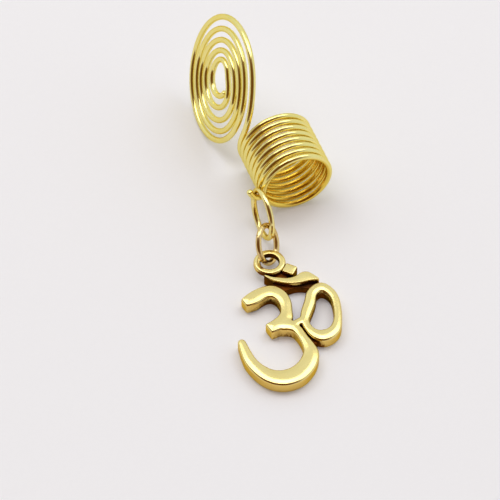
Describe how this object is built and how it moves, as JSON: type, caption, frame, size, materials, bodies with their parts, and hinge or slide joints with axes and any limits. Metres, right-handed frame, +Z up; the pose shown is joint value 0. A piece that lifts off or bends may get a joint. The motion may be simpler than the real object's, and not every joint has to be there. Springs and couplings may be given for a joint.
{
  "type": "braid hair ring with a flat spiral disc and an om charm",
  "caption": "Wire hair coil that a braid passes through, ending in a flat spiral disc, with a cast om charm hung from its free end on linked jump rings.",
  "frame": {"origin": "centre of the coil's bore, half-way along the coil", "axes": "+Y along the coil's bore, from the charm towards the spiral disc; +Z up from the surface that it lies on, with the charm's face up; +X to the right of the coil"},
  "size_m": [0.0221, 0.0585, 0.0176],
  "materials": {
    "gold_plated_wire": "polished, gold-plated",
    "gold_plated_ring": "polished, gold-plated",
    "antique_gold_casting": "polished face, brown patina in the recesses"
  },
  "bodies": {
    "root": {"spiral_wire": "gold_plated_wire", "upper_jump_ring": "gold_plated_ring", "lower_jump_ring": "gold_plated_ring", "om_charm": "antique_gold_casting"}
  },
  "joints": []
}
